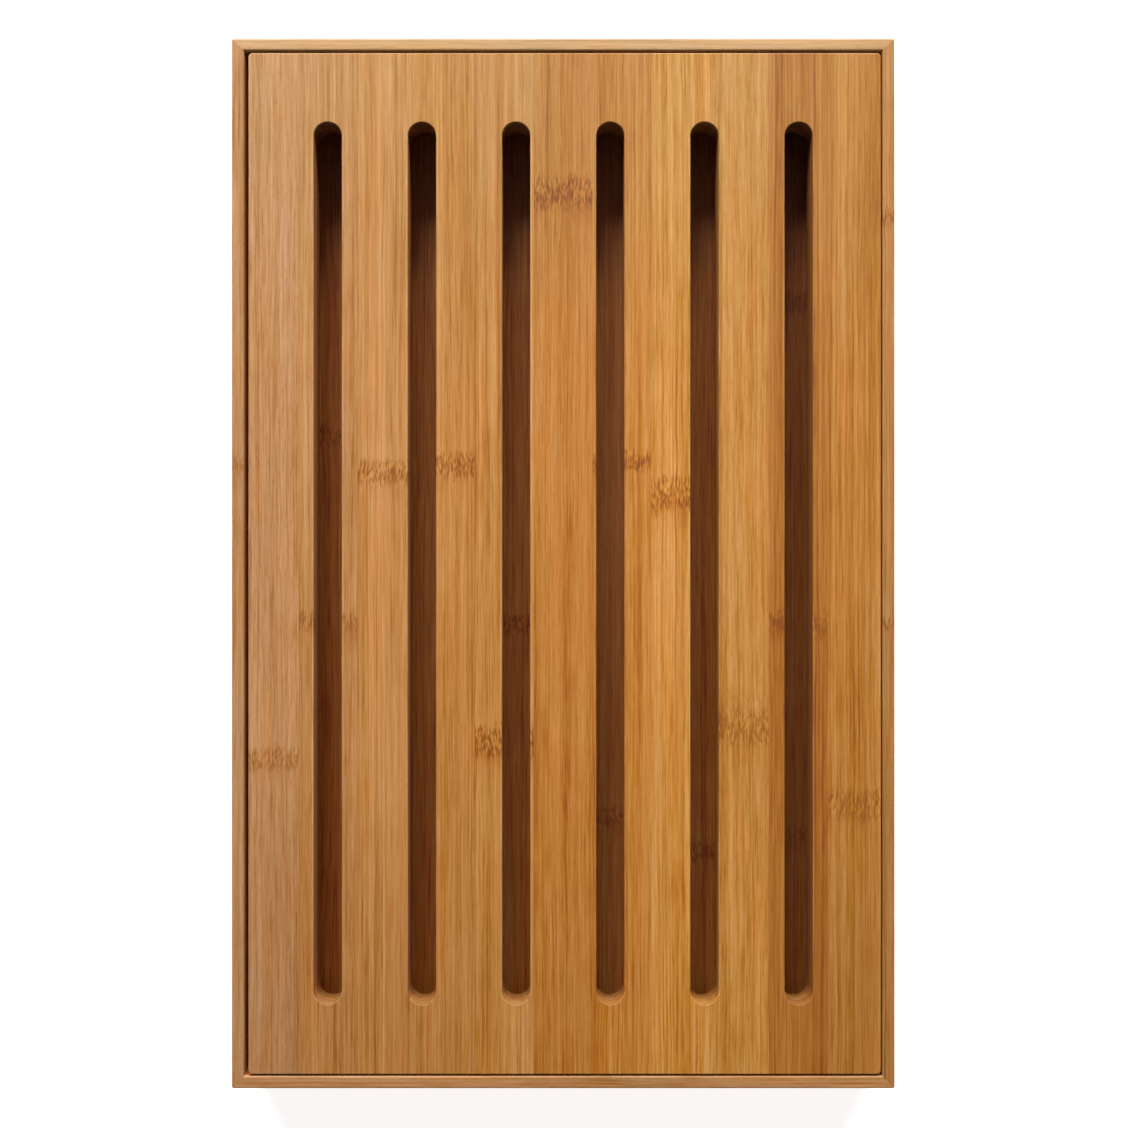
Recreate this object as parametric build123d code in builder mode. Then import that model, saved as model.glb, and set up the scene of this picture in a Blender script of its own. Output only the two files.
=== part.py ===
from build123d import *
import os

os.makedirs("parts", exist_ok=True)

# ---------------------------------------------------------------------------
# Bread board with crumb catcher: a slotted bamboo board that lies loose in a
# shallow bamboo tray with mitred rails. Crumbs fall through the slots onto
# the floor of the tray, and the board lifts straight up out of it.
#
# Frame: +Z up, long side along Y, origin on the table under the middle of
# the tray. Millimetres.
# ---------------------------------------------------------------------------

# tray
TRAY_W = 240.0          # over the rails, X
TRAY_L = 380.0          # over the rails, Y
TRAY_H = 35.0           # table to the top edge of the rails
RAIL_T = 4.5            # thickness of a rail
TRAY_CORNER_R = 0.6     # outer upright corners, sanded
RAIL_EASE_OUT = 0.5     # sanded top edges of the rails, outside
RAIL_EASE_IN = 0.8      # the same, inside, where the board is lowered in
RAIL_FOOT_EASE = 0.35   # sanded bottom edges of the rails

# floor of the tray, held in a groove in the rails
BASE_T = 3.0
BASE_Z = 4.0            # underside of the floor above the table
GROOVE_D = 2.0          # depth of the groove in each rail
GROOVE_GAP = 0.3        # room left behind the floor's edge in the groove

# ledger strips inside the rails, which carry the board
LEDGER_W = 6.0
LEDGER_EASE = 0.3

# slotted board
BOARD_W = 229.05
BOARD_L = 369.8
BOARD_T = 15.0
BOARD_CX = 0.525        # it lies pushed a little to the right in the tray
BOARD_CY = -0.1
BOARD_CORNER_R = 1.6
BOARD_EASE = 0.5        # sanded top edge all round
FACE_T = 6.6            # staves of the cutting face
SLOT_EASE = 0.4         # sanded top edges of the slots
FOOT_EASE = 0.3         # bottom edge of the board

# slots, on the middle line of the tray
SLOT_N = 6
SLOT_PITCH = 34.1
SLOT_W = 10.2
SLOT_L = 319.4          # over the round ends

# edge-glued staves of the cutting face: ten glue lines, outer staves trimmed
STAVE_PITCH = 21.25
STAVE_LINES = [STAVE_PITCH * (i - 4.5) for i in range(10)]

# derived
INNER_W = TRAY_W - 2 * RAIL_T
INNER_L = TRAY_L - 2 * RAIL_T
BASE_TOP = BASE_Z + BASE_T
BOARD_Z = TRAY_H - BOARD_T          # underside of the board, top of the ledgers
FACE_Z = TRAY_H - FACE_T            # glue plane between staves and cross ply
LEDGER_H = BOARD_Z - BASE_TOP


# ---------------------------------------------------------------------------
# Rails: one closed ring is shaped, then parted along the four mitres, so the
# eased edges and the groove run cleanly from rail to rail.
# ---------------------------------------------------------------------------
with BuildPart() as rail_ring:
    with BuildSketch(Plane.XY):
        RectangleRounded(TRAY_W, TRAY_L, TRAY_CORNER_R)
        Rectangle(INNER_W, INNER_L, mode=Mode.SUBTRACT)
    extrude(amount=TRAY_H)
    # groove for the floor
    with BuildSketch(Plane.XY.offset(BASE_Z)):
        Rectangle(INNER_W + 2 * GROOVE_D, INNER_L + 2 * GROOVE_D)
    extrude(amount=BASE_T, mode=Mode.SUBTRACT)
    rail_top = rail_ring.faces().sort_by(Axis.Z)[-1]
    outer_edges = rail_top.outer_wire().edges()
    inner_edges = [e for w in rail_top.inner_wires() for e in w.edges()]
    fillet(outer_edges, radius=RAIL_EASE_OUT)
    fillet(inner_edges, radius=RAIL_EASE_IN)
    fillet(rail_ring.faces().sort_by(Axis.Z)[0].outer_wire().edges(),
           radius=RAIL_FOOT_EASE)

HX, HY = TRAY_W / 2, TRAY_L / 2
OUT = 1.0                           # the mitre outline runs a little past the wood
IN = RAIL_T + 1.0

with BuildPart() as left_rail:
    with BuildSketch(Plane.XY):
        with BuildLine():
            Polyline((-HX - OUT, -HY - OUT), (-HX + IN, -HY + IN),
                     (-HX + IN, HY - IN), (-HX - OUT, HY + OUT), close=True)
        make_face()
    extrude(amount=TRAY_H)
    add(rail_ring.part, mode=Mode.INTERSECT)
left_rail.part.label = "left_rail"
export_step(left_rail.part, "parts/left_rail.step")

with BuildPart() as right_rail:
    with BuildSketch(Plane.XY):
        with BuildLine():
            Polyline((HX + OUT, -HY - OUT), (HX + OUT, HY + OUT),
                     (HX - IN, HY - IN), (HX - IN, -HY + IN), close=True)
        make_face()
    extrude(amount=TRAY_H)
    add(rail_ring.part, mode=Mode.INTERSECT)
right_rail.part.label = "right_rail"
export_step(right_rail.part, "parts/right_rail.step")

with BuildPart() as front_rail:
    with BuildSketch(Plane.XY):
        with BuildLine():
            Polyline((-HX - OUT, -HY - OUT), (HX + OUT, -HY - OUT),
                     (HX - IN, -HY + IN), (-HX + IN, -HY + IN), close=True)
        make_face()
    extrude(amount=TRAY_H)
    add(rail_ring.part, mode=Mode.INTERSECT)
front_rail.part.label = "front_rail"
export_step(front_rail.part, "parts/front_rail.step")

with BuildPart() as rear_rail:
    with BuildSketch(Plane.XY):
        with BuildLine():
            Polyline((-HX - OUT, HY + OUT), (-HX + IN, HY - IN),
                     (HX - IN, HY - IN), (HX + OUT, HY + OUT), close=True)
        make_face()
    extrude(amount=TRAY_H)
    add(rail_ring.part, mode=Mode.INTERSECT)
rear_rail.part.label = "rear_rail"
export_step(rear_rail.part, "parts/rear_rail.step")


# ---------------------------------------------------------------------------
# Floor of the tray: a thin panel whose edges sit in the groove.
# ---------------------------------------------------------------------------
with BuildPart() as base_panel:
    with BuildSketch(Plane.XY.offset(BASE_Z)):
        Rectangle(INNER_W + 2 * (GROOVE_D - GROOVE_GAP),
                  INNER_L + 2 * (GROOVE_D - GROOVE_GAP))
    extrude(amount=BASE_T)
base_panel.part.label = "base_panel"
export_step(base_panel.part, "parts/base_panel.step")


# ---------------------------------------------------------------------------
# Ledger strips: glued to the inside of the rails on top of the floor. The
# long pair runs from end to end, the short pair fits between them.
# ---------------------------------------------------------------------------
LEDGER_X = INNER_W / 2 - LEDGER_W / 2
LEDGER_Y = INNER_L / 2 - LEDGER_W / 2
SHORT_LEDGER = INNER_W - 2 * LEDGER_W

with BuildPart() as left_ledger:
    with BuildSketch(Plane.XY.offset(BASE_TOP)):
        with Locations((-LEDGER_X, 0)):
            Rectangle(LEDGER_W, INNER_L)
    extrude(amount=LEDGER_H)
    chamfer(left_ledger.edges().filter_by(Axis.Y).group_by(Axis.Z)[-1]
            .sort_by(Axis.X)[-1], length=LEDGER_EASE)
left_ledger.part.label = "left_ledger"
export_step(left_ledger.part, "parts/left_ledger.step")

with BuildPart() as right_ledger:
    with BuildSketch(Plane.XY.offset(BASE_TOP)):
        with Locations((LEDGER_X, 0)):
            Rectangle(LEDGER_W, INNER_L)
    extrude(amount=LEDGER_H)
    chamfer(right_ledger.edges().filter_by(Axis.Y).group_by(Axis.Z)[-1]
            .sort_by(Axis.X)[0], length=LEDGER_EASE)
right_ledger.part.label = "right_ledger"
export_step(right_ledger.part, "parts/right_ledger.step")

with BuildPart() as front_ledger:
    with BuildSketch(Plane.XY.offset(BASE_TOP)):
        with Locations((0, -LEDGER_Y)):
            Rectangle(SHORT_LEDGER, LEDGER_W)
    extrude(amount=LEDGER_H)
    chamfer(front_ledger.edges().filter_by(Axis.X).group_by(Axis.Z)[-1]
            .sort_by(Axis.Y)[-1], length=LEDGER_EASE)
front_ledger.part.label = "front_ledger"
export_step(front_ledger.part, "parts/front_ledger.step")

with BuildPart() as rear_ledger:
    with BuildSketch(Plane.XY.offset(BASE_TOP)):
        with Locations((0, LEDGER_Y)):
            Rectangle(SHORT_LEDGER, LEDGER_W)
    extrude(amount=LEDGER_H)
    chamfer(rear_ledger.edges().filter_by(Axis.X).group_by(Axis.Z)[-1]
            .sort_by(Axis.Y)[0], length=LEDGER_EASE)
rear_ledger.part.label = "rear_ledger"
export_step(rear_ledger.part, "parts/rear_ledger.step")


# ---------------------------------------------------------------------------
# Slotted board: the glued-up blank is slotted and sanded as one board, then
# parted into its layers and staves along the glue lines.
# ---------------------------------------------------------------------------
with BuildPart() as board_blank:
    with BuildSketch(Plane.XY.offset(BOARD_Z)):
        with Locations((BOARD_CX, BOARD_CY)):
            RectangleRounded(BOARD_W, BOARD_L, BOARD_CORNER_R)
        with GridLocations(SLOT_PITCH, 1.0, SLOT_N, 1):
            SlotOverall(SLOT_L, SLOT_W, rotation=90, mode=Mode.SUBTRACT)
    extrude(amount=BOARD_T)
    top_face = board_blank.faces().sort_by(Axis.Z)[-1]
    rim = top_face.outer_wire().edges()
    slot_rims = [e for w in top_face.inner_wires() for e in w.edges()]
    fillet(rim, radius=BOARD_EASE)
    fillet(slot_rims, radius=SLOT_EASE)
    under_face = board_blank.faces().sort_by(Axis.Z)[0]
    chamfer(under_face.outer_wire().edges(), length=FOOT_EASE)

with BuildPart() as board_cross_ply:
    add(board_blank.part)
    split(bisect_by=Plane.XY.offset(FACE_Z), keep=Keep.BOTTOM)
board_cross_ply.part.label = "board_cross_ply"
export_step(board_cross_ply.part, "parts/board_cross_ply.step")

BOARD_X0 = BOARD_CX - BOARD_W / 2
BOARD_X1 = BOARD_CX + BOARD_W / 2
STAVE_EDGES = [BOARD_X0 - 1.0] + STAVE_LINES + [BOARD_X1 + 1.0]

for i in range(len(STAVE_EDGES) - 1):
    x0, x1 = STAVE_EDGES[i], STAVE_EDGES[i + 1]
    with BuildPart() as board_stave:
        with BuildSketch(Plane.XY.offset(FACE_Z)):
            with Locations(((x0 + x1) / 2, 0)):
                Rectangle(x1 - x0, BOARD_L + 10.0)
        extrude(amount=FACE_T)
        add(board_blank.part, mode=Mode.INTERSECT)
    stave_name = "board_stave_%02d" % (i + 1)
    board_stave.part.label = stave_name
    export_step(board_stave.part, "parts/" + stave_name + ".step")
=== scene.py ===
import math

import bpy
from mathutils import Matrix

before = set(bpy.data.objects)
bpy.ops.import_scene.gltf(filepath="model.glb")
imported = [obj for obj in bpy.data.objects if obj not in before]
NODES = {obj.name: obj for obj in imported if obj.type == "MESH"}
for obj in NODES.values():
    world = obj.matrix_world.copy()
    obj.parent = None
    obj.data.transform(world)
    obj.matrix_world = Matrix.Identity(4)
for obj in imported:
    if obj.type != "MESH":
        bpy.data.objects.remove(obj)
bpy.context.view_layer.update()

# Sizes below are in millimetres, as in the CAD model. Materials read object
# coordinates, which stay with a piece when its body moves.
TRAY_W, TRAY_L, TRAY_H, RAIL_T = 240.0, 380.0, 35.0, 4.5
BOARD_W, BOARD_L = 229.05, 369.8
BOARD_CX, BOARD_CY = 0.525, -0.1
SLOT_PITCH, SLOT_R, SLOT_HALF = 34.1, 5.1, 154.6   # half of the straight run
STAVE_LINES = [21.25 * (i - 4.5) for i in range(10)]


# ---------------------------------------------------------------------------
# Camera, straight above the board
# ---------------------------------------------------------------------------
cam_data = bpy.data.cameras.new("camera")
cam_data.sensor_width = 36.0
cam_data.lens = 52.92
cam_data.clip_start = 0.02
cam_data.clip_end = 60.0
cam = bpy.data.objects.new("camera", cam_data)
cam.location = (0.00029, -0.0002, 0.635)
cam.rotation_euler = (0.0, 0.0, 0.0)
bpy.context.scene.collection.objects.link(cam)
bpy.context.scene.camera = cam
bpy.context.scene.view_settings.view_transform = "Standard"


# ---------------------------------------------------------------------------
# Light: two softboxes side by side behind the far end, the left one taller
# and the right one lower, in a dim surround with a pale rim near the ground
# ---------------------------------------------------------------------------
def softbox(name, azimuth, elevation, distance, width, height, power):
    a, e = math.radians(azimuth), math.radians(elevation)
    data = bpy.data.lights.new(name, "AREA")
    data.shape = "RECTANGLE"
    data.size = width
    data.size_y = height
    data.energy = power
    data.color = (1.0, 0.992, 0.98)
    obj = bpy.data.objects.new(name, data)
    obj.location = (distance * math.cos(e) * math.sin(a),
                    distance * math.cos(e) * math.cos(a),
                    distance * math.sin(e))
    obj.rotation_euler = (-(math.pi / 2 - e), 0.0, -a)
    bpy.context.scene.collection.objects.link(obj)
    return obj


softbox("key_left", -18.0, 32.5, 2.3, 1.25, 0.95, 65.5)
softbox("key_right", 18.0, 26.0, 2.3, 1.25, 0.50, 54.8)

world = bpy.data.worlds.new("surround")
bpy.context.scene.world = world
world.use_nodes = True
wt = world.node_tree
wt.nodes.clear()
w_out = wt.nodes.new("ShaderNodeOutputWorld")
w_bg = wt.nodes.new("ShaderNodeBackground")
w_tc = wt.nodes.new("ShaderNodeTexCoord")
w_sep = wt.nodes.new("ShaderNodeSeparateXYZ")
w_ramp = wt.nodes.new("ShaderNodeValToRGB")
w_ramp.color_ramp.elements[0].position = 0.03
w_ramp.color_ramp.elements[0].color = (0.97, 0.97, 0.97, 1)
w_ramp.color_ramp.elements[1].position = 0.30
w_ramp.color_ramp.elements[1].color = (0.11, 0.11, 0.115, 1)
wt.links.new(w_tc.outputs["Generated"], w_sep.inputs[0])
wt.links.new(w_sep.outputs["Z"], w_ramp.inputs["Fac"])
wt.links.new(w_ramp.outputs["Color"], w_bg.inputs["Color"])
w_bg.inputs["Strength"].default_value = 1.0
# the backdrop itself is plain and pale
w_pale = wt.nodes.new("ShaderNodeBackground")
w_pale.inputs["Color"].default_value = (0.985, 0.985, 0.985, 1)
w_lp = wt.nodes.new("ShaderNodeLightPath")
w_mix = wt.nodes.new("ShaderNodeMixShader")
wt.links.new(w_lp.outputs["Is Camera Ray"], w_mix.inputs[0])
wt.links.new(w_bg.outputs[0], w_mix.inputs[1])
wt.links.new(w_pale.outputs[0], w_mix.inputs[2])
wt.links.new(w_mix.outputs[0], w_out.inputs["Surface"])


# ---------------------------------------------------------------------------
# Node-tree helper
# ---------------------------------------------------------------------------
class Tree:
    def __init__(self, name):
        self.mat = bpy.data.materials.new(name)
        self.mat.use_nodes = True
        self.nt = self.mat.node_tree
        self.nt.nodes.clear()
        self.out = self.nt.nodes.new("ShaderNodeOutputMaterial")
        self.bsdf = self.nt.nodes.new("ShaderNodeBsdfPrincipled")
        self.nt.links.new(self.bsdf.outputs["BSDF"], self.out.inputs["Surface"])

    def put(self, socket, value):
        if isinstance(value, bpy.types.NodeSocket):
            self.nt.links.new(value, socket)
        else:
            socket.default_value = value

    def math(self, op, a, b=0.0, c=0.0, clamp=False):
        n = self.nt.nodes.new("ShaderNodeMath")
        n.operation = op
        n.use_clamp = clamp
        self.put(n.inputs[0], a)
        self.put(n.inputs[1], b)
        if op in ("MULTIPLY_ADD", "COMPARE", "SMOOTH_MIN", "SMOOTH_MAX", "WRAP"):
            self.put(n.inputs[2], c)
        return n.outputs[0]

    def add(self, *terms):
        total = terms[0]
        for t in terms[1:]:
            total = self.math("ADD", total, t)
        return total

    def mul(self, *terms):
        total = terms[0]
        for t in terms[1:]:
            total = self.math("MULTIPLY", total, t)
        return total

    def ease(self, value, low, high, at_low=0.0, at_high=1.0):
        """Smooth step of value from low to high."""
        n = self.nt.nodes.new("ShaderNodeMapRange")
        n.interpolation_type = "SMOOTHSTEP"
        n.clamp = True
        self.put(n.inputs["Value"], value)
        self.put(n.inputs["From Min"], low)
        self.put(n.inputs["From Max"], high)
        self.put(n.inputs["To Min"], at_low)
        self.put(n.inputs["To Max"], at_high)
        return n.outputs["Result"]

    def vec(self, x, y, z):
        n = self.nt.nodes.new("ShaderNodeCombineXYZ")
        for socket, value in zip(n.inputs, (x, y, z)):
            self.put(socket, value)
        return n.outputs[0]

    def noise(self, vector, detail=0.0, roughness=0.5):
        """Noise about 0, roughly -0.5 to 0.5, one lattice cell to the unit."""
        n = self.nt.nodes.new("ShaderNodeTexNoise")
        n.noise_dimensions = "3D"
        self.put(n.inputs["Vector"], vector)
        n.inputs["Scale"].default_value = 1.0
        n.inputs["Detail"].default_value = detail
        n.inputs["Roughness"].default_value = roughness
        return self.math("SUBTRACT", n.outputs[0], 0.5)

    def white(self, value):
        n = self.nt.nodes.new("ShaderNodeTexWhiteNoise")
        n.noise_dimensions = "1D"
        self.put(n.inputs["W"], value)
        return n.outputs["Value"]

    def mix(self, a, b, fac, kind="MIX"):
        n = self.nt.nodes.new("ShaderNodeMix")
        n.data_type = "RGBA"
        n.blend_type = kind
        n.clamp_factor = True
        self.put(n.inputs["Factor"], fac)
        colours = [s for s in n.inputs if s.type == "RGBA"]
        for socket, value in zip(colours, (a, b)):
            if isinstance(value, bpy.types.NodeSocket):
                self.nt.links.new(value, socket)
            else:
                socket.default_value = (*value, 1.0)
        return [s for s in n.outputs if s.type == "RGBA"][0]

    def ramp(self, value, stops):
        n = self.nt.nodes.new("ShaderNodeValToRGB")
        els = n.color_ramp.elements
        while len(els) < len(stops):
            els.new(0.5)
        for el, (pos, colour) in zip(els, stops):
            el.position = pos
            el.color = (*colour, 1.0)
        self.put(n.inputs["Fac"], value)
        return n.outputs["Color"]


# ---------------------------------------------------------------------------
# Bamboo
# ---------------------------------------------------------------------------
BEIGE = (0.464, 0.223, 0.086)     # paler, rosier strips
YELLOW = (0.480, 0.216, 0.044)
ORANGE = (0.465, 0.176, 0.020)    # strips with more sugar left in them
PALE = (0.488, 0.291, 0.124)      # strips from near the pith
AXES = {"X": (1, 2, 0), "Y": (0, 2, 1), "Z": (0, 1, 2)}   # across, through, along


def scaled(colour, factors):
    if not hasattr(factors, "__len__"):
        factors = (factors,) * 3
    return tuple(c * f for c, f in zip(colour, factors))


def blend(a, b, t):
    return tuple(x + (y - x) * t for x, y in zip(a, b))


def bamboo(name, axis="Y", seed=0, yellow=0.5, orange=0.0, pale=0.0, base=None, tone=1.0,
           marks=(), strip=None, tones=(), ends_tone=(1.0, 1.0), contrast=1.0, flat=0.5, slots=False,
           board_rim=False, rail=False, face=None, stave=None, walls=None, rough=0.48, sheen=(1.0, 0.91, 0.78)):
    """One piece of bamboo: fibres along axis, marks = [(place, height,
    strength, (low, high) across)] of the culm's nodes along it, strip = width
    of the strips it is glued up from, tones = [(low, high across, tone)] of
    some of them, ends_tone = tone at the (far, near) end, flat = 0 for strips
    on edge with straight lines, 1 for strips laid flat with short dashes."""
    t = Tree(name)
    tc = t.nt.nodes.new("ShaderNodeTexCoord")
    sep = t.nt.nodes.new("ShaderNodeSeparateXYZ")
    t.nt.links.new(tc.outputs["Object"], sep.inputs[0])
    mm = [t.mul(sep.outputs[i], 1000.0) for i in range(3)]
    nsep = t.nt.nodes.new("ShaderNodeSeparateXYZ")
    t.nt.links.new(tc.outputs["Normal"], nsep.inputs[0])
    ia, ib, il = AXES[axis]
    across, through, along = mm[ia], mm[ib], mm[il]
    x, y, z = mm

    # a glued-up panel: each strip is its own piece of culm
    shift, own = seed * 53.7, None
    if strip:
        index = t.math("FLOOR", t.math("DIVIDE", t.add(across, 1000.0 + strip / 2), strip))
        own = t.white(t.add(index, seed * 7.31))
        shift = t.math("MULTIPLY_ADD", own, 400.0, seed * 53.7)
    a0 = t.add(across, shift)
    l0 = t.add(along, seed * 31.3) if not strip else t.math("MULTIPLY_ADD", own, 900.0, along)

    # the fibres wander a little, and bend sharply round the culm's nodes
    drift = t.noise(t.vec(t.mul(a0, 0.03), t.mul(l0, 0.006), t.mul(through, 0.04)), 1.0)
    waver = t.noise(t.vec(t.mul(a0, 0.22), t.mul(l0, 0.035), t.mul(through, 0.1)))
    a = t.add(a0, t.mul(drift, 1.8), t.mul(waver, 0.45 + 0.5 * flat))
    places = []
    for k, (place, height, strength, *side) in enumerate(marks):
        key = k * 9.0 + seed * 3.1
        ragged = t.noise(t.vec(t.mul(across, 0.26), key, t.mul(through, 0.16)), 1.0)
        ragged2 = t.noise(t.vec(t.mul(across, 0.95), key + 4.2, t.mul(through, 0.3)))
        spikes = t.noise(t.vec(t.mul(across, 2.1), key + 8.4, t.mul(through, 0.3)))
        dl = t.add(along, -place, t.mul(ragged, 0.42 * height), t.mul(ragged2, 0.32 * height),
                   t.mul(spikes, 0.40 * height))
        off = t.math("ABSOLUTE", dl)
        here = 1.0
        if side:
            lo, hi = side[0]
            here = t.mul(t.ease(across, lo - 0.6, lo + 0.6),
                         t.ease(across, hi - 0.6, hi + 0.6, 1.0, 0.0))
        swirl = t.noise(t.vec(t.mul(across, 0.20), key + 6.6, t.mul(through, 0.2)), 1.0)
        reach = t.ease(off, height * 0.30, height * 1.5, 1.0, 0.0)
        a = t.add(a, t.mul(swirl, dl, reach, here, 5.0 * strength / height))
        places.append((height, strength, key, dl, off, here))

    def grain(fa, fl, detail=0.0, rough_=0.5, offset=0.0):
        return t.noise(t.vec(t.mul(a, fa), t.math("MULTIPLY_ADD", l0, fl, offset),
                             t.mul(through, fa)), detail, rough_)

    fine = grain(1.80, 1 / 15.0, 1.0, 0.55)
    fibre = grain(1.30, 1 / 45.0, 1.0, 0.5, 3.7)
    streak = grain(1.35, 1 / 900.0, 1.0, 0.5, 23.9)
    ribbon = grain(0.26, 1 / 350.0, 0.0, 0.5, 87.0)
    medium = grain(0.45, 1 / 200.0, 0.0, 0.5, 9.1)
    broad = grain(0.13, 1 / 300.0, 0.0, 0.5, 5.3)
    cloud = grain(0.035, 1 / 90.0, 1.0, 0.5, 17.0)

    level = t.add(0.5,
                  t.mul(fine, (0.80 + 0.35 * flat) * contrast),
                  t.mul(fibre, 0.90 * contrast),
                  t.mul(streak, (0.95 - 0.40 * flat) * contrast),
                  t.mul(medium, 0.32 * contrast),
                  t.mul(ribbon, 0.35 * contrast),
                  t.mul(broad, 0.36 * contrast),
                  t.mul(cloud, 0.28 * contrast))
    if own is not None:
        level = t.math("MULTIPLY_ADD", t.math("SUBTRACT", own, 0.5), 0.30, level)

    if base is None:
        base = blend(blend(blend(BEIGE, YELLOW, yellow), ORANGE, orange), PALE, pale)
    base = scaled(base, tone)
    # dark fibres are deep orange, light ones go towards straw

    def shade(k):
        step = (k - 1.0) * base[0]
        return (base[0] * k, base[1] + 0.69 * step, max(base[2] + (0.35 + 2.0 * base[2]) * step, 0.004))

    colour = t.ramp(level, [(0.0, shade(0.64)), (0.28, shade(0.86)), (0.52, base),
                            (0.78, shade(1.13)), (1.0, shade(1.22))])
    # orange and yellower passages
    flame = grain(0.24, 1 / 45.0, 1.0, 0.5, 71.0)
    warm = t.ease(t.add(flame, t.mul(broad, 0.4)), 0.02, 0.24)
    cool = t.ease(t.add(flame, t.mul(broad, 0.4)), -0.03, -0.24)
    colour = t.mix(colour, (1.05, 0.93, 0.72), t.mul(warm, 0.60), "MULTIPLY")
    colour = t.mix(colour, (0.98, 1.03, 1.20), t.mul(cool, 0.60), "MULTIPLY")
    for low, high, own_tone in tones:
        here = t.mul(t.ease(across, low - 0.2, low + 0.2), t.ease(across, high - 0.2, high + 0.2, 1.0, 0.0))
        colour = t.mix(colour, (own_tone,) * 3, here, "MULTIPLY")
    # a strip is not equally dark from end to end
    if ends_tone[0] != 1.0:
        colour = t.mix(colour, (ends_tone[0],) * 3, t.ease(along, 40.0, 175.0), "MULTIPLY")
    if ends_tone[1] != 1.0:
        colour = t.mix(colour, (ends_tone[1],) * 3, t.ease(along, -60.0, -175.0), "MULTIPLY")
    if slots:
        # painted sheen: towards its far end, where the light comes from, the cutting face is a little paler and less
        # red
        colour = t.mix(colour, (0.955, 1.03, 1.03), t.ease(along, 40.0, 175.0), "MULTIPLY")

    # long dark fibres at uneven distances, shorter ones between them
    ridge = t.math("ABSOLUTE", grain(0.40, 1 / 700.0, 0.0, 0.5, 41.0))
    long_lines = t.ease(ridge, 0.012, 0.075, 1.0, 0.0)
    ridge2 = t.math("ABSOLUTE", grain(0.85, 1 / 110.0, 0.0, 0.5, 63.0))
    short_lines = t.ease(ridge2, 0.02, 0.12, 1.0, 0.0)
    fade = t.ease(grain(0.3, 1 / 40.0, 0.0, 0.5, 77.0), -0.10, 0.16)
    dark_lines = t.math("MAXIMUM", t.mul(long_lines, 0.62 - 0.30 * flat), t.mul(short_lines, fade, 0.40))
    colour = t.mix(colour, (0.82, 0.66, 0.32), t.mul(dark_lines, contrast), "MULTIPLY")
    # short dashes of cut fibre bundles
    pores = t.ease(grain(1.7, 1 / 3.4, 0.0, 0.5, 31.0), 0.04, 0.24)
    colour = t.mix(colour, (0.80, 0.64, 0.32), t.mul(pores, (0.06 + 0.34 * flat) * contrast), "MULTIPLY")

    bumps = [t.mul(fine, 0.5), t.mul(fibre, 0.5), t.mul(dark_lines, -0.12)]

    # nodes of the culm: a ragged band of short dark and pale dashes
    for height, strength, key, dl, off, here in places:
        band = t.ease(off, height * 0.20, height * 0.58, 1.0, 0.0)
        dash = t.noise(t.vec(t.mul(a, 1.9), t.math("MULTIPLY_ADD", along, 0.46, key),
                             t.mul(through, 0.9)), 0.0)
        dash_dark = t.ease(dash, -0.02, 0.12)
        dash_light = t.ease(dash, -0.05, -0.20)
        below = t.mul(t.ease(dl, -height * 0.5 - 11.0, -height * 0.30),
                      t.ease(dl, 0.0, height * 0.45, 1.0, 0.0))
        above = t.mul(t.ease(dl, height * 0.5 + 9.0, height * 0.45),
                      t.ease(dl, height * 0.1, height * 0.45))
        patch = t.ease(t.noise(t.vec(t.mul(a, 0.20), t.math("MULTIPLY_ADD", along, 0.08, key), 0.0), 1.0),
                       -0.12, 0.14)
        colour = t.mix(colour, (0.88, 0.72, 0.44), t.mul(below, patch, here, 0.80 * strength), "MULTIPLY")
        colour = t.mix(colour, (0.87, 0.75, 0.42), t.mul(band, here, 0.90 * strength), "MULTIPLY")
        colour = t.mix(colour, (1.04, 1.07, 1.16), t.mul(above, here, 0.6 * strength), "MULTIPLY")
        colour = t.mix(colour, (1.25, 1.44, 2.20), t.mul(band, dash_light, here, strength), "MULTIPLY")
        dark = t.mul(band, dash_dark, here, strength)
        colour = t.mix(colour, (0.64, 0.535, 0.20), dark, "MULTIPLY")
        bumps.append(t.mul(dark, -0.15))

    # end grain: dark ends of the fibre bundles on a duller ground
    facing = t.math("ABSOLUTE", nsep.outputs[il])
    ends = t.ease(facing, 0.62, 0.86)
    dots = t.noise(t.vec(t.mul(across, 1.5), t.mul(through, 1.5), seed * 0.37), 1.5, 0.6)
    dot = t.ease(dots, 0.02, 0.12)
    end_colour = t.mix(scaled(base, (0.63, 0.63, 0.50)), scaled(base, (0.45, 0.40, 0.28)), dot)
    colour = t.mix(colour, end_colour, ends)

    rounded = None
    if walls:
        # below the sanded edges the cut sides are rawer and redder, and lifted a little as painted light;
        # just under the edge they carry a band of painted shade
        side = t.ease(t.math("ABSOLUTE", nsep.outputs[1]), 0.85, 0.35)
        depth = t.math("SUBTRACT", BOARD_W / 2, t.math("ABSOLUTE", t.add(x, -BOARD_CX)))
        cut = t.mul(t.ease(z, 34.3, 33.4), side, t.ease(depth, 0.6, 1.2))
        colour = t.mix(colour, walls, cut, "MULTIPLY")
        # painted shade: darker over the upper few millimetres of the cut sides
        colour = t.mix(colour, (0.76, 0.70, 0.64), t.mul(cut, t.ease(z, 28.0, 32.0)), "MULTIPLY")
    if slots:
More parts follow.
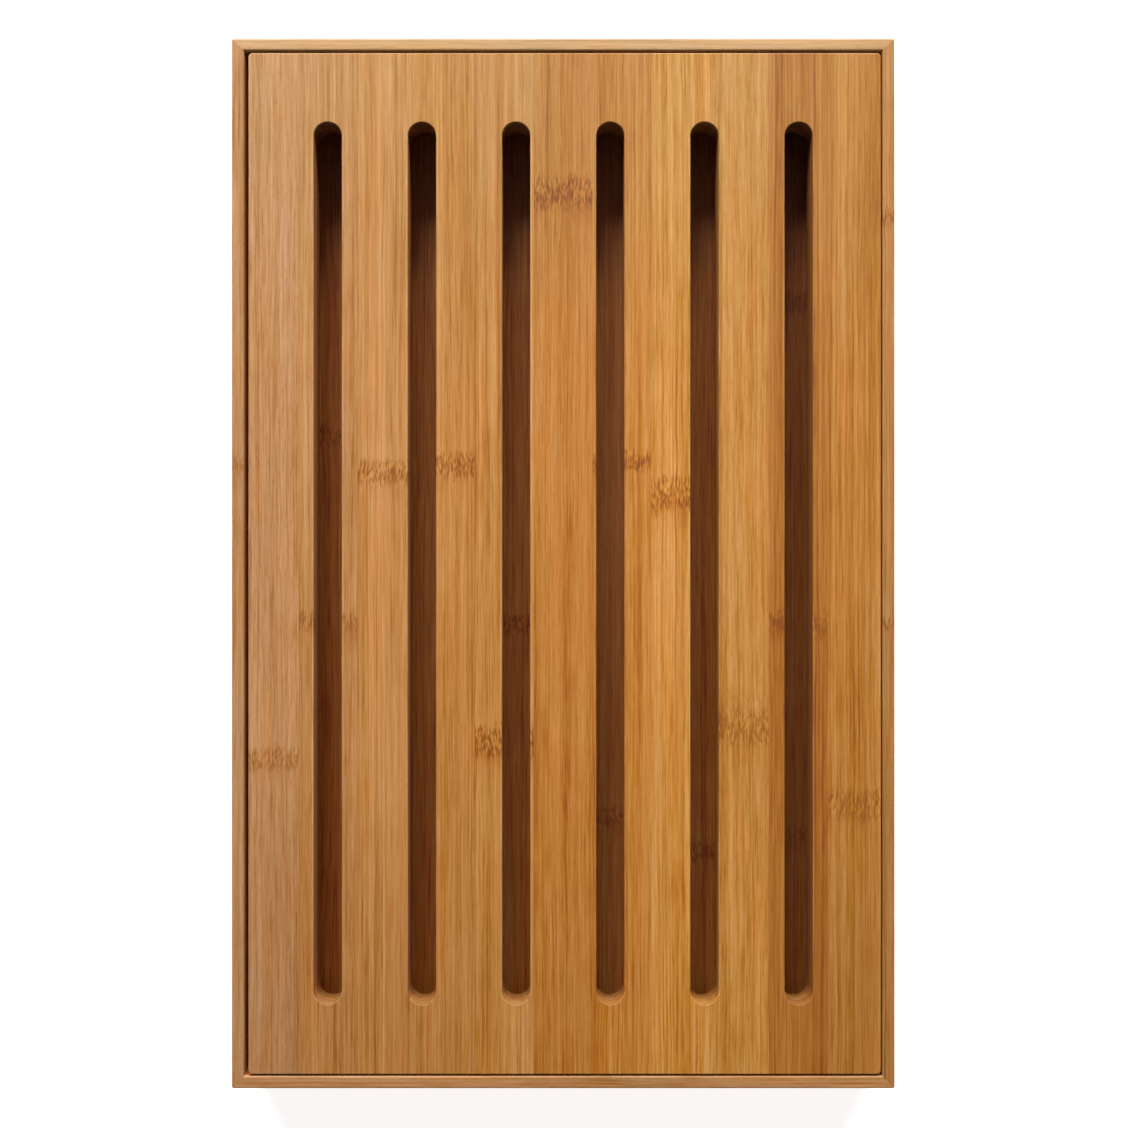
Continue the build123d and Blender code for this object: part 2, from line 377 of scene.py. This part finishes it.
        # the sanded edges of the slots and the wood just beside them are paler
        rel = t.math("PINGPONG", t.add(x, 20 * SLOT_PITCH), SLOT_PITCH / 2)
        sx = t.math("SUBTRACT", SLOT_PITCH / 2, rel)
        sy = t.math("MAXIMUM", t.math("SUBTRACT", t.math("ABSOLUTE", y), SLOT_HALF), 0.0)
        d = t.math("SUBTRACT", t.math("SQRT", t.add(t.mul(sx, sx), t.mul(sy, sy))), SLOT_R)
        inside = t.ease(t.math("ABSOLUTE", x), 103.0, 104.0, 1.0, 0.0)
        near = t.mul(t.ease(d, 0.35, 1.15, 1.0, 0.0), t.ease(z, 33.6, 34.5), inside)
        colour = t.mix(colour, (1.07, 1.17, 1.60), t.mul(near, t.ease(sy, 0.5, 3.5, 0.60, 0.0)), "MULTIPLY")
        rounded = t.mul(t.ease(d, 0.65, 0.25, 0.0, 1.0), inside)
        # painted shade: the rounded ends of the slots are darker, damping their highlight
        colour = t.mix(colour, (0.80, 0.78, 0.74), t.mul(rounded, t.ease(sy, 0.5, 3.5), t.ease(z, 33.6, 34.5)),
                       "MULTIPLY")
    if board_rim:
        ex = t.math("SUBTRACT", BOARD_W / 2, t.math("ABSOLUTE", t.add(x, -BOARD_CX)))
        ey = t.math("SUBTRACT", BOARD_L / 2, t.math("ABSOLUTE", t.add(y, -BOARD_CY)))
        e = t.math("MINIMUM", ex, ey)
        near = t.mul(t.ease(ex, 0.3, 1.1, 1.0, 0.0), t.ease(z, 33.6, 34.5))
        colour = t.mix(colour, (1.08, 1.15, 1.38), t.mul(near, 0.4), "MULTIPLY")
        rounded = t.math("MAXIMUM", rounded, t.ease(e, 0.15, 0.55, 1.0, 0.0))
        # painted shade: the rounded far and near edges of the face are darker, damping their highlight
        colour = t.mix(colour, (0.82, 0.80, 0.76), t.mul(t.ease(ey, 0.15, 0.55, 1.0, 0.0), 0.9), "MULTIPLY")
    if stave:
        lo, hi = stave
        e = t.math("MINIMUM", t.math("SUBTRACT", x, lo), t.math("SUBTRACT", hi, x))
        colour = t.mix(colour, (0.80, 0.68, 0.56), t.ease(e, 0.03, 0.24, 0.6, 0.0), "MULTIPLY")
    if rail:
        # a hair line where the mitred ends meet, and rougher rubbed edges
        ox = t.math("SUBTRACT", TRAY_W / 2, t.math("ABSOLUTE", x))
        oy = t.math("SUBTRACT", TRAY_L / 2, t.math("ABSOLUTE", y))
        mitre = t.math("ABSOLUTE", t.math("SUBTRACT", ox, oy))
        colour = t.mix(colour, (0.62, 0.48, 0.36), t.ease(mitre, 0.04, 0.22, 0.4, 0.0), "MULTIPLY")
        o = t.math("MINIMUM", ox, oy)
        edge = t.math("MINIMUM", o, t.math("SUBTRACT", RAIL_T, o))
        inner = t.math("SUBTRACT", RAIL_T, o)
        rounded = t.mul(t.ease(edge, 0.15, 0.75, 1.0, 0.0), t.ease(z, 33.9, 34.3))
        if axis == "X":
            # painted shade: on the front and rear rails the rounded inner edge is darker, damping its highlight
            colour = t.mix(colour, (0.80, 0.78, 0.74), t.mul(t.ease(inner, 0.1, 0.8, 1.0, 0.0), t.ease(z, 33.9, 34.3)),
                           "MULTIPLY")
        # painted light: the inside face is made lighter than the oiled top, so the narrow gap beside the board reads
        # less dark
        gap_face_painted_light = t.mul(t.ease(inner, 0.05, 0.25, 1.0, 0.0), t.ease(z, 34.5, 33.8))
        colour = t.mix(colour, (1.55, 1.35, 1.15), gap_face_painted_light, "MULTIPLY")
        if face:
            # the outside shows the browner skin side of the strip
            skin = t.mul(t.ease(o, 0.3, 0.05), t.ease(z, 34.8, 34.2))
            colour = t.mix(colour, face, skin, "MULTIPLY")

    t.put(t.bsdf.inputs["Base Color"], colour)
    roughness = t.add(rough, t.mul(fine, -0.10), t.mul(broad, 0.10), t.mul(ends, 0.12))
    if rounded is not None:
        roughness = t.math("MULTIPLY_ADD", rounded, 0.20, roughness)
    # seen very low, the satin top faces scatter the light instead of glaring
    weight = t.nt.nodes.new("ShaderNodeLayerWeight")
    weight.inputs["Blend"].default_value = 0.5
    low = t.mul(t.ease(weight.outputs["Facing"], 0.55, 0.88), t.ease(nsep.outputs[2], 0.85, 0.97))
    roughness = t.math("MULTIPLY_ADD", low, 0.55, roughness)
    t.put(t.bsdf.inputs["Roughness"], roughness)
    t.bsdf.inputs["IOR"].default_value = 1.5
    t.bsdf.inputs["Specular IOR Level"].default_value = 0.75
    t.bsdf.inputs["Specular Tint"].default_value = (*sheen, 1.0)
    bump = t.nt.nodes.new("ShaderNodeBump")
    bump.inputs["Strength"].default_value = 0.35
    bump.inputs["Distance"].default_value = 0.00012
    t.put(bump.inputs["Height"], t.add(*bumps))
    t.put(t.bsdf.inputs["Normal"], bump.outputs["Normal"])
    return t.mat


def dress(node, material):
    obj = NODES[node]
    if not obj.material_slots:
        obj.data.materials.append(material)
    for s in obj.material_slots:
        s.material = material


# Cutting face: eleven staves, left to right, rosier on the left: how yellow,
# how orange, how light and how flat-grained each is
STAVES = [(0.0, 0.0, 0.99, 0.8), (0.25, 0.2, 0.97, 0.5), (0.5, 0.15, 1.01, 0.2),
          (0.8, 0.5, 0.96, 0.5), (0.8, 0.1, 1.04, 0.4), (1.0, 1.0, 0.96, 0.6),
          (1.0, 0.8, 1.05, 0.4), (1.0, 0.0, 1.19, 0.5), (1.0, 0.0, 1.05, 0.7),
          (1.0, 1.15, 0.84, 0.2), (1.0, 0.5, 0.96, 0.4)]
MARKS = {
    1: [(-70.8, 9.0, 0.65)],
    2: [(-20.8, 8.0, 0.65)],
    3: [(33.4, 10.0, 0.85)],
    4: [(35.6, 11.0, 0.95)],
    5: [(-65.0, 13.0, 1.2)],
    6: [(133.2, 13.0, 1.05)],
    7: [(36.7, 9.0, 1.1)],
    8: [(25.4, 14.0, 1.05)],
    9: [(-59.4, 15.0, 0.68), (-51.0, 12.0, 0.2)],
    10: [(-21.5, 12.0, 0.65)],
    11: [(-87.4, 13.0, 0.62)],
}
ENDS = [(1.0, 0.88), (0.96, 1.0), (0.97, 0.96), (0.97, 0.93), (0.86, 0.97), (0.86, 0.96),
        (0.86, 0.98), (0.90, 1.0), (0.92, 1.04), (0.97, 0.98), (0.98, 0.90)]
# raw cut sides: redder, and lifted a little as painted light
WALL_RAW_AND_PAINTED_LIGHT = (1.10, 0.93, 0.72)
edges =[BOARD_CX - BOARD_W / 2] + STAVE_LINES + [BOARD_CX + BOARD_W / 2]
for i, (yellow, orange, tone, flat) in enumerate(STAVES):
    name = "board_stave_%02d" % (i + 1)
    lo = edges[i] if i > 0 else -999.0
    hi = edges[i + 1] if i < 10 else 999.0
    dress(name, bamboo("bamboo_stave_%02d" % (i + 1), "Y", seed=3 + i * 1.37, yellow=yellow,
                       orange=orange, tone=tone, marks=MARKS[i + 1], flat=flat, ends_tone=ENDS[i],
                       slots=True, board_rim=True, stave=(lo, hi), walls=WALL_RAW_AND_PAINTED_LIGHT))

dress("board_cross_ply", bamboo("bamboo_cross_ply", "X", seed=21.3, yellow=0.5, orange=0.1, tone=0.85,
                                strip=21.0, contrast=0.9, walls=WALL_RAW_AND_PAINTED_LIGHT))

# Tray
dress("left_rail", bamboo("bamboo_left_rail", "Y", seed=31.1, yellow=0.0, pale=0.1, tone=0.90,
                          marks=[(36.0, 7.0, 0.6)], rail=True))
dress("right_rail", bamboo("bamboo_right_rail", "Y", seed=33.9, yellow=0.6, orange=0.3, tone=0.82,
                           marks=[(126.0, 7.0, 0.8), (-22.0, 6.0, 0.7)], rail=True))
dress("front_rail", bamboo("bamboo_front_rail", "X", seed=36.2, yellow=0.1, tone=0.96, rail=True))
dress("rear_rail", bamboo("bamboo_rear_rail", "X", seed=38.8, pale=1.0, tone=0.92, rail=True,
                          face=(0.58, 0.50, 0.42)))
dress("base_panel", bamboo("bamboo_base_panel", "Y", seed=41.7, base=(0.530, 0.175, 0.022),
                           sheen=(1.0, 1.0, 1.0),
                           marks=[(48.0, 9.0, 0.8, (-95.0, -75.0)), (-23.0, 9.0, 0.9, (-32.0, -10.0)),
                                  (-96.0, 9.0, 0.8, (10.0, 32.0)), (-109.0, 9.0, 0.8, (40.0, 62.0)),
                                  (99.0, 9.0, 0.8, (74.0, 96.0)), (-102.0, 9.0, 0.6, (74.0, 96.0))],
                           strip=21.25,
                           # these strip tones are partly painted light and shade: lighter under the leftmost slot,
                           # darker under the rightmost
                           tones=[(-95.6, -74.4, 1.12), (-31.9, -10.6, 1.0), (31.9, 53.1, 0.97),
                                  (74.4, 95.6, 0.80)]))
for i, (node, axis) in enumerate((("left_ledger", "Y"), ("right_ledger", "Y"),
                                  ("front_ledger", "X"), ("rear_ledger", "X"))):
    dress(node, bamboo("bamboo_" + node, axis, seed=51.3 + i * 2.9, yellow=0.6, tone=0.97))


# ---------------------------------------------------------------------------
# Floor
# ---------------------------------------------------------------------------
half = 14.0
mesh = bpy.data.meshes.new("studio_floor")
mesh.from_pydata([(-half, -half, 0), (half, -half, 0), (half, half, 0), (-half, half, 0)],
                 [], [(0, 1, 2, 3)])
floor = bpy.data.objects.new("studio_floor", mesh)
bpy.context.scene.collection.objects.link(floor)
ft = Tree("studio_floor")
ftc = ft.nt.nodes.new("ShaderNodeTexCoord")
fmap = ft.nt.nodes.new("ShaderNodeVectorMath")
fmap.operation = "SCALE"
ft.nt.links.new(ftc.outputs["Object"], fmap.inputs[0])
fmap.inputs["Scale"].default_value = 9.0
speck = ft.noise(fmap.outputs[0], 3.0)
ft.put(ft.bsdf.inputs["Base Color"], ft.ramp(ft.add(0.5, speck), [
    (0.0, (0.86, 0.86, 0.855)), (1.0, (0.90, 0.90, 0.895))]))
ft.bsdf.inputs["Roughness"].default_value = 0.85
ft.bsdf.inputs["Emission Color"].default_value = (1.0, 1.0, 1.0, 1.0)
ft.bsdf.inputs["Emission Strength"].default_value = 0.80
mesh.materials.append(ft.mat)
